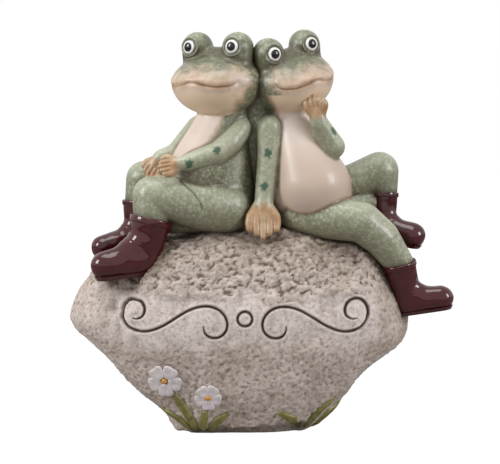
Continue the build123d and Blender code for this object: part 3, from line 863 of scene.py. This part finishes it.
# Sage glaze: it breaks into a net of dark green between paler dots as it melts, lies cream on
# bellies and jaws and peach on mouths and hands, with brown wash and painted shade in the creases
# and joins. Painted light makes arms, legs and upward sides paler; painted shade darkens downward sides.
# It is fired half glossy, so the lights show soft-edged on every round form.
glaze, tree = bare_material("mottled sage glaze")
where = add(tree, "TexCoord").outputs["Object"]
glaze_marks = ("crease", "cream", "peach", "tan", "dab", "crown", "contact", "under", "upward", "low")
marks = {
    mark: add(tree, "Attribute", (0, row), attribute_name=mark).outputs["Fac"]
    for row, mark in enumerate(glaze_marks, 1)
}
drift_size, dot_size, small_dot_size, patch_size, broad_size = 3.846, 2.7, 1.6, 10.53, 29.41
drift = add(tree, "TexNoise", (1, -1), {"Vector": where, "Scale": 1 / drift_size / mm, "Detail": 2})
drift = drift.outputs["Color"]
drift = add(tree, "VectorMath", (2, -1), {0: drift, 1: (0.5, 0.5, 0.5)}, operation="SUBTRACT")
drift = add(tree, "VectorMath", (3, -1), {0: drift, "Scale": 3.0 * mm}, operation="SCALE")
moved = add(tree, "VectorMath", (4, -1), {0: where, 1: drift}, operation="ADD")
dots = add(tree, "TexVoronoi", (5, -1), {"Vector": moved, "Scale": 1 / dot_size / mm})
small_dots = add(tree, "TexVoronoi", (5, -2), {"Vector": moved, "Scale": 1 / small_dot_size / mm})
dots = add(tree, "Mix", (6, -1), {"Factor": 0.35, 2: dots, 3: small_dots})
blotchy = {"Vector": where, "Scale": 1 / patch_size / mm, "Detail": 4, "Roughness": 0.6}
patch = add(tree, "TexNoise", (1, 0), blotchy)
broad = add(tree, "TexNoise", (1, 1), {"Vector": where, "Scale": 1 / broad_size / mm, "Detail": 2})
deep = {"From Min": 0.46, "From Max": 0.66}
crown_share = add(tree, "MapRange", (2, 0), {"Value": patch, **deep, "To Min": 0.35, "To Max": 0.9})
green = lay_coats(tree, paint("#b4b69f"), (
    (dots, {"From Min": 0.1, "From Max": 0.62}, "#62634d"),
    (patch, {**deep, "To Max": 0.55}, "#6c735c"),
    (broad, {"From Min": 0.52, "From Max": 0.68, "To Max": 0.5}, "#a0957f"),
    # Painted light on arms, legs and the sides that face up.
    (marks["upward"], {"To Max": 0.62}, "#c4c9b0"),
    # Painted shade on the sides that face down.
    (marks["under"], {"To Max": 0.45}, "#6d634c"),
    (marks["crown"], {"To Max": crown_share}, "#5d6049"),
    (marks["dab"], {"To Max": 0.92}, "#1d4a33"),
))
cream = lay_coats(tree, paint("#dccdc1"), ((marks["tan"], {}, "#dbc1a6"), (marks["low"], {}, "#bfac9d")))
peach = lay_coats(tree, paint("#bd9773"), ((patch, {"From Min": 0.35, "From Max": 0.65}, "#9a7552"),))
on_light = add(tree, "Math", (2, 2), {0: marks["cream"], 1: marks["peach"]}, operation="MAXIMUM")
# The colour of the brown wash and painted shade in creases and joins.
wash = lay_coats(tree, paint("#463a26"), ((on_light, {}, "#80583a"),))
rest = add(tree, "Math", (2, 3), {0: 1.0, 1: marks["cream"]}, operation="SUBTRACT")
rim = add(tree, "Math", (3, 4), {0: marks["cream"], 1: rest}, operation="MULTIPLY")
blush = add(tree, "MapRange", (2, 5), {"Value": patch, "From Min": 0.3, "From Max": 0.6, "To Min": 0.55})
# Brown wash and painted shade where a frog touches the rock, its boots or the other frog.
in_joins = add(tree, "Math", (2, 6), {0: marks["contact"], 1: 0.9}, operation="MULTIPLY")
hollows = add(tree, "Math", (3, 6), {0: marks["crease"], 1: in_joins}, operation="MAXIMUM")
brushed = add(tree, "MapRange", (2, 7), {"Value": patch, "From Min": 0.3, "From Max": 0.55, "To Min": 0.6})
colour = lay_coats(tree, green, (
    (marks["cream"], {}, cream),
    (rim, {"To Max": 1.4}, "#b3906c"),
    (marks["peach"], {"To Max": blush}, peach),
    # Brown wash and painted shade, in creases and where pieces meet.
    (hollows, {"To Max": brushed}, wash),
))
skin = add(tree, "Bump", (10, -1), {"Height": patch, "Strength": 0.12, "Distance": 1.2 * mm})
shine = {"Base Color": colour, "Roughness": 0.42, "IOR": 1.5, "Normal": skin}
shine.update({"Coat Weight": 0.15, "Coat Roughness": 0.16})
gloss = add(tree, "BsdfPrincipled", (11, 0), shine)
add(tree, "OutputMaterial", (12, 0), {"Surface": gloss})

for name, frog in frogs.items():
    whole, groups = lump_frog(name, frog)
    around, above, on_head, tooled = tool_frog(whole, frog, groups)
    points = points_of(whole)
    gaps, head_gap = {limb: off_rolls(groups[limb], points) for limb in groups}, off_head(frog, points)
    note_shades(whole, gaps, head_gap, tooled)
    note_cream_and_blush(whole, frog, gaps, around, above, on_head)
    note_dabs(whole, frog)
    note_down(whole, "crown", (head_gap < 12) * ease(4, 12, above))
    gaps["head"] = np.minimum(gaps["head"], head_gap)
    cut_apart(name, whole, gaps)


# Eyes: a round white inlay and a black pupil, both domed, pressed into each eye bulb while the
# clay is soft. Both are glazed as bright as glass, so the studio's lights show in them.
def inlay(centre, gaze, radius, seat, rise, shoulder=2.6):
    """A round button with a dome, flatter on top for a larger shoulder, looking along the gaze."""
    button = ball((0, 0, 0), 1, 48, 32)
    unit = points_of(button)
    level = np.minimum(np.linalg.norm(unit[:, :2], axis=1), 1)
    dome = np.sign(unit[:, 2]) * np.sqrt(1 - level**shoulder) * rise
    own = np.column_stack((unit[:, :2] * radius, dome))
    turned = np.array(Vector(gaze).to_track_quat("Z", "Y").to_matrix())
    put_points(button, own @ turned.T + centre + gaze * seat)
    bpy.ops.object.shade_smooth()
    return button


def plain_glaze(name, colour, roughness, shade, spread):
    """A fired glaze whose colour drifts to a second shade, over patches of a spread in mm."""
    enamel, tree = bare_material(name)
    where = add(tree, "TexCoord").outputs["Object"]
    drift = add(tree, "TexNoise", (1, 0), {"Vector": where, "Scale": 1 / spread / mm, "Detail": 4})
    tone = lay_coats(tree, paint(colour), ((drift, {"From Min": 0.4, "From Max": 0.7}, shade),))
    skin = add(tree, "Bump", (3, -1), {"Height": drift, "Strength": 0.1, "Distance": 0.6 * mm})
    looks = {"Base Color": tone, "Roughness": roughness, "IOR": 1.5, "Normal": skin}
    shell = add(tree, "BsdfPrincipled", (4, 0), looks)
    add(tree, "OutputMaterial", (5, 0), {"Surface": shell})
    return enamel


# White and black enamel: glossy enough that each eye holds small sharp lights, and looks wet.
white_enamel = plain_glaze("white eye glaze", "#f1f0ec", 0.08, "#dcdad4", 3)
black_enamel = plain_glaze("black pupil glaze", "#0b0b0d", 0.05, "#15151a", 3)
for name, frog in frogs.items():
    for part, sizes, enamel, finish in (
        ("eye_whites", (eye_white, eye_bulb - 1.1, 1.5), white_enamel, "white_glaze"),
        ("pupils", (pupil_size, eye_bulb - 0.6, 1.7, 2.0), black_enamel, "black_glaze"),
    ):
        inlays = [inlay(centre, gaze, *sizes) for centre, gaze in eyes_of(frog)]
        pair = join_up(f"{name}_{part}_inlaid", inlays)
        pair.data.materials.append(enamel)
        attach(pair, "root")
        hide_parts(f"{name}_{part}")


# Rubber boots: short wellingtons with a rolled band at the top, a round toe, folds at the ankle
# and a welted sole. They are dipped in a thick maroon glaze that pools as smooth as glass.
boots = {
    "left_frog_near": (
        place(-0.273, -0.265, 0.066), place(-0.299, -0.300, -0.128), place(-0.409, -0.385, -0.156), 1.0, 10.0
    ),
    "left_frog_far": (
        place(-0.314, 0.06, 0.129), place(-0.316, 0.05, -0.060), place(-0.421, -0.08, -0.096), 0.8, 8.3
    ),
    "right_frog_near": (
        place(0.453, -0.175, -0.162), place(0.481, -0.145, -0.360), place(0.578, -0.185, -0.336), 0.8, 9.0
    ),
    "right_frog_far": (
        place(0.413, 0.10, 0.161), place(0.412, 0.06, -0.014), place(0.497, -0.04, -0.042), 0.7, 9.0
    ),
}
boot_heel, boot_ankle, boot_top = 12.4, 12.2, 14.4
band_height, band_lip, band_thickness = 4.8, 0.5, 2.4
sole_share, sole_thickness, sole_fullness, sole_taper = 0.66, 3.2, 0.77, 0.86
welt = 0.7
edge_turn = radians(40)


def unit(vector):
    return vector / np.linalg.norm(vector)


def slice_off(piece, spot, towards):
    """Cuts a piece flat at a spot and takes away what lies beyond it, towards one side."""
    take(piece)
    bpy.ops.object.mode_set(mode="EDIT")
    bpy.ops.mesh.select_all(action="SELECT")
    bpy.ops.mesh.bisect(
        plane_co=Vector(spot) * mm, plane_no=Vector(towards), use_fill=True, clear_outer=True
    )
    bpy.ops.object.mode_set(mode="OBJECT")


def disc(centre, radius, depth, upwards, top_radius=None):
    """A short round block standing on a centre, as wide at the top unless that is given."""
    let_go()
    bpy.ops.mesh.primitive_cone_add(
        vertices=72, radius1=radius * mm, radius2=(top_radius or radius) * mm, depth=depth * mm
    )
    block = bpy.context.object
    turned = np.array(Vector(upwards).to_track_quat("Z", "Y").to_matrix())
    put_points(block, (points_of(block) + (0, 0, depth / 2)) @ turned.T + centre)
    return block


def make_sole(floors, radii, upwards, size):
    """A slab as thick as a welted sole, a little wider than the foot on top of it."""
    thickness = sole_thickness * size
    ends = []
    for floor, radius in zip(floors, radii):
        wide = sole_fullness * radius
        ends.append(disc(floor - upwards * thickness, wide * sole_taper, thickness, upwards, wide + welt))
    sole = skin_round(*ends)
    press(sole, "BEVEL", width=1.3 * mm * size, segments=6, limit_method="ANGLE", angle_limit=edge_turn)
    return sole


def make_band(rim, shaft, size):
    """The rolled band round a boot's top, open in the middle for the leg."""
    band = disc(rim - shaft * band_height * size, (boot_top + band_lip) * size, band_height * size, shaft)
    choose_faces(band, [face.normal.dot(Vector(shaft)) > 0.9 for face in band.data.polygons])
    bpy.ops.mesh.inset(thickness=band_thickness * mm * size)
    bpy.ops.mesh.extrude_region_move(
        TRANSFORM_OT_translate={"value": Vector(-shaft) * (band_height - 1) * mm * size}
    )
    bpy.ops.object.mode_set(mode="OBJECT")
    press(band, "BEVEL", width=0.95 * mm * size, segments=5, limit_method="ANGLE", angle_limit=edge_turn)
    return band


def make_boot(label, rim, heel, toe, size, toe_radius):
    """A foot and a leg run into one another, with a sole below and a band round the top."""
    radii = np.array((boot_heel * size, toe_radius))
    upwards = unit(np.cross(np.cross(toe - heel, (0, 0, 1)), toe - heel))
    floors = np.array((heel, toe)) - sole_share * radii[:, None] * upwards
    shaft, along = unit(rim - heel), unit(floors[1] - floors[0])
    upwards = unit(np.cross(np.cross(along, (0, 0, 1)), along))
    foot = [(heel, radii[0]), (toe, radii[1])]
    leg = [(heel + shaft * 2 * size, boot_ankle * size), (rim + shaft * 3, (boot_top + 0.3) * size)]
    instep = [(heel + shaft * 13 * size, 11.2 * size), (heel + along * 14 * size, radii.mean() * 0.97)]
    name = label + "_wellington"
    upper = join_up(name, [*roll_clay(foot), *roll_clay(leg), *roll_clay(instep)])
    press(upper, "REMESH", mode="VOXEL", voxel_size=boot_detail * mm * size, use_smooth_shade=True)
    points = sponge(points_of(upper), edges_of(upper), 40)

    on_axis = np.clip((points - heel) @ along, 0, (toe - heel) @ along)
    girth = np.interp(on_axis, (0, (toe - heel) @ along), radii)
    aside = points - heel - on_axis[:, None] * along
    above_floor = (points - floors[0]) @ upwards
    below = np.clip(sole_share * girth - above_floor, 0, sole_share * girth)
    aside -= (aside @ upwards)[:, None] * upwards
    fuller = np.maximum(sole_fullness / np.sqrt(1 - (below / girth) ** 2), 1)
    points += aside * (fuller - 1)[:, None] * (below > 0)[:, None]
    put_points(upper, points)
    out = facing_of(upper)

    up_shaft = (points - heel) @ shaft / size
    forward = (points - heel) @ along / size
    wrinkled = ease(1, 6, forward) * (1 - ease(13, 18, forward))
    folds = sum(hump(up_shaft - 0.25 * forward, level, 0.8) for level in (6.5, 9.5))
    height = -0.22 * size * folds * wrinkled
    height += np.array([0.5 * noise.noise(Vector(point) / 8) for point in points])
    put_points(upper, points + out * height[:, None])
    slice_off(upper, rim - shaft * 2.6 * size, shaft)
    slice_off(upper, floors[0], -upwards)

    boot = join_up(name, [upper, make_sole(floors, radii, upwards, size), make_band(rim, shaft, size)])
    bpy.ops.object.shade_smooth_by_angle(angle=edge_turn)
    return boot


# A lead-free gloss glaze the colour of dark cherries: nearly black, and drifting a little
# redder in broad patches.
maroon = plain_glaze("dark maroon gloss glaze", "#3d070d", 0.12, "#4a1218", 14)
for label, sizes in boots.items():
    boot = make_boot(label, *sizes)
    boot.data.materials.clear()
    boot.data.materials.append(maroon)
    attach(boot, "root")
    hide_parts(label + "_boot")


# Flowers: five clay petals pressed flat on to the rock round a button, then glazed by brush.
# Each petal is a rounded square with a notch in its rim and a groove down its middle.
flowers = {
    "large_flower": {"seat": (-0.233, 0.290), "petal": 5.5, "ring": 7.1, "turn": 57},
    "small_flower": {"seat": (-0.108, 0.204), "petal": 4.6, "ring": 5.3, "turn": 57},
}


def skin_of(*pieces):
    """The surface of one or more pieces, in millimetres, to be met by rays or nearest points."""
    points, faces = [], []
    for piece in pieces:
        starts, sizes, corners = corners_of(piece)
        shifted = corners + sum(len(batch) for batch in points)
        faces += [face.tolist() for face in np.split(shifted, starts[1:])]
        points.append(points_of(piece))
    return BVHTree.FromPolygons(np.vstack(points).tolist(), faces)


rock_skin, smooth_skin = skin_of(rock), skin_of(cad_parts["rock"])


def on_rock(across, up):
    """The point of the rock's front at a place seen straight on, and the way out of it."""
    start = Vector((across * rock_width, -2 * rock_depth, up * rock_height))
    around = [Vector((x, 0, z)) for x, z in ((0, 0), (2, 0), (-2, 0), (0, 2), (0, -2))]
    spots = [rock_skin.ray_cast(start + step, (0, 1, 0))[0] for step in around]
    depth = np.mean([spot.y for spot in spots if spot])
    outward = smooth_skin.ray_cast(start, (0, 1, 0))[1]
    return np.array((start.x, depth, start.z)), unit(np.array(outward))


def make_petal(size, bend):
    """One petal lying flat, its root at the origin's side and its rim out along X."""
    petal = ball((0, 0, 0), 1, 40, 24)
    x, y, z = points_of(petal).T
    turn = np.arctan2(y, x)
    square = 1 - 0.07 * np.cos(4 * turn) - 0.05 * hump(turn, 0, 0.25)
    across = y * size * square * (1 + 0.12 * x)
    outwards = x * size * square * 0.95
    top = 1.7 * np.clip(z, 0, 1) ** 0.5 - 0.6 * bend * hump(np.hypot(x, y), 0, 0.6)
    top -= 0.15 * hump(across, 0, 1.0) * ease(-0.8, 0.4, x)
    put_points(petal, np.column_stack((outwards, across, np.where(z > 0, top, 2.4 * z))))
    return petal


# Brushed glazes: the white is thin and dulled by the clay under it, so that the petals look soft
# beside the eyes, and the orange drifts darker in small patches over the dimpled button.
petal_glaze = plain_glaze("white petal glaze", "#d6cfcf", 0.3, "#bfb5b8", 4)
button_glaze = plain_glaze("orange button glaze", "#d6973a", 0.25, "#b27424", 2)
for name, flower in flowers.items():
    seat, outward = on_rock(*flower["seat"])
    turned = np.array(Vector(outward).to_track_quat("Z", "Y").to_matrix())
    petals = []
    for number in range(5):
        angle = radians(flower["turn"] + number * 72)
        petal = make_petal(flower["petal"], 0.75 + 0.2 * (number % 2))
        lie = np.array(((cos(angle), -sin(angle), 0), (sin(angle), cos(angle), 0), (0, 0, 1)))
        lifted = points_of(petal) + (flower["ring"], 0, 1.3 + 0.25 * (number % 2))
        put_points(petal, lifted @ lie.T @ turned.T + seat)
        petals.append(petal)
    rosette = join_up(name + "_petals_pressed", petals)
    bpy.ops.object.shade_smooth()
    rosette.data.materials.append(petal_glaze)
    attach(rosette, "root")
    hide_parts(name + "_petals")
    button = inlay(seat, outward, 2.1, 1.9, 1.7)
    points = points_of(button)
    dimples = np.array([0.16 * noise.noise(Vector(point) / 0.8) for point in points])
    put_points(button, points + facing_of(button) * dimples[:, None])
    button.name = name + "_button_pressed"
    button.data.materials.append(button_glaze)
    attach(button, "root")
    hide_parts(name + "_button")


# Stems and leaves: strips of clay drawn out thin, pressed on to the rock with a modelling tool
# and brushed with olive glaze. Each blade has a vein pressed down its middle.
leaves = {
    "large_flower_stem": (((-0.214, 0.228), (-0.172, 0.125), (-0.138, 0.012)), 5.8, 0.35),
    "small_flower_stem": (((-0.114, 0.140), (-0.122, 0.075), (-0.128, 0.012)), 5.0, 0.3),
    "left_leaf": (((-0.252, 0.128), (-0.195, 0.085), (-0.150, 0.012)), 6.2, 0.9),
    "middle_leaf": (((-0.046, 0.116), (-0.086, 0.070), (-0.112, 0.012)), 5.8, 0.8),
    "right_leaf_low": (((0.094, 0.120), (0.142, 0.080), (0.158, 0.020)), 5.8, 0.8),
    "right_leaf_tall": (((0.268, 0.182), (0.212, 0.110), (0.176, 0.020)), 4.8, 0.9),
    "right_leaf_side": (((0.284, 0.148), (0.235, 0.085), (0.196, 0.020)), 4.8, 0.9),
}


def make_blade(shares, width, point):
    """A blade that lies along three points of the rock's face, tapered more as point nears 1."""
    blade = ball((0, 0, 0), 1, 24, 48)
    x, y, z = points_of(blade).T
    along = np.clip((z + 1) / 2, 0, 1)
    tip, middle, root = (np.array(share) for share in shares)
    bulge = 2 * middle - (tip + root) / 2
    steps = np.linspace(0, 1, 33)[:, None]
    path = (1 - steps) ** 2 * tip + 2 * steps * (1 - steps) * bulge + steps**2 * root
    spots, outwards = (np.array(found) for found in zip(*[on_rock(*share) for share in path]))
    spots[1:-1] = (spots[:-2] + 2 * spots[1:-1] + spots[2:]) / 4
    centre, outward, run = (
        np.column_stack([np.interp(along, steps[:, 0], column) for column in rows.T])
        for rows in (spots, outwards, np.gradient(spots, axis=0))
    )
    across = np.cross(run, outward)
    across /= np.linalg.norm(across, axis=1)[:, None]
    ring = np.maximum(np.hypot(x, y), 1e-6)
    side, lift = x / ring, y / ring
    taper = np.minimum(1, ring ** 0.6 * 1.15)
    swell = taper * ((1 - point) + point * np.sin(np.pi * np.clip(along * 0.86 + 0.06, 0, 1)) ** 0.8)
    vein = 0.55 * hump(side, 0, 0.22) * (lift > 0) * swell
    thick = np.where(lift > 0, 1.9, 1.6) * lift * np.minimum(1, swell * 1.4) - vein
    spread = side * swell * width * 0.57
    put_points(blade, centre + across * spread[:, None] + outward * (thick + 0.35)[:, None])
    bpy.ops.object.shade_smooth()
    return blade


# Olive glaze: brushed on in one satin coat that drifts browner in small patches.
leaf_glaze = plain_glaze("olive leaf glaze", "#7f7942", 0.36, "#5b5d27", 4)
for name, (shares, width, point) in leaves.items():
    blade = make_blade(shares, width, point)
    blade.name = name + "_blade"
    blade.data.materials.append(leaf_glaze)
    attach(blade, "root")
    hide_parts(name)


# Wash and painted shade: thin brown oxide is brushed into every join before firing and stays where
# pieces meet, and the same mark paints the shade that falls between them. The nearer a point of a
# frog or of the rock is to a neighbour, the more wash and shade is painted there.
def note_contact_wash_and_shade(piece, neighbours, reach):
    """Notes how close each point of a piece is to its neighbours, 1 where they touch."""
    skin = skin_of(*neighbours)
    found = [skin.find_nearest(point, 5 * reach)[3] for point in points_of(piece)]
    gaps = np.array([5 * reach if gap is None else gap for gap in found])
    note_down(piece, "contact", np.exp(-gaps / reach))


modelled = {
    name: [piece for piece in scene.objects if piece.type == "MESH" and piece.name.startswith(name)]
    for name in frogs
}
note_contact_wash_and_shade(rock, modelled["left_frog"] + modelled["right_frog"], 4.5)
for name, neighbour in (("left_frog", "right_frog"), ("right_frog", "left_frog")):
    wellingtons = [piece for piece in modelled[name] if piece.name.endswith("_wellington")]
    for piece in modelled[name]:
        if piece.name.endswith("_clay"):
            note_contact_wash_and_shade(piece, [rock, *wellingtons, *modelled[neighbour]], 2.5)
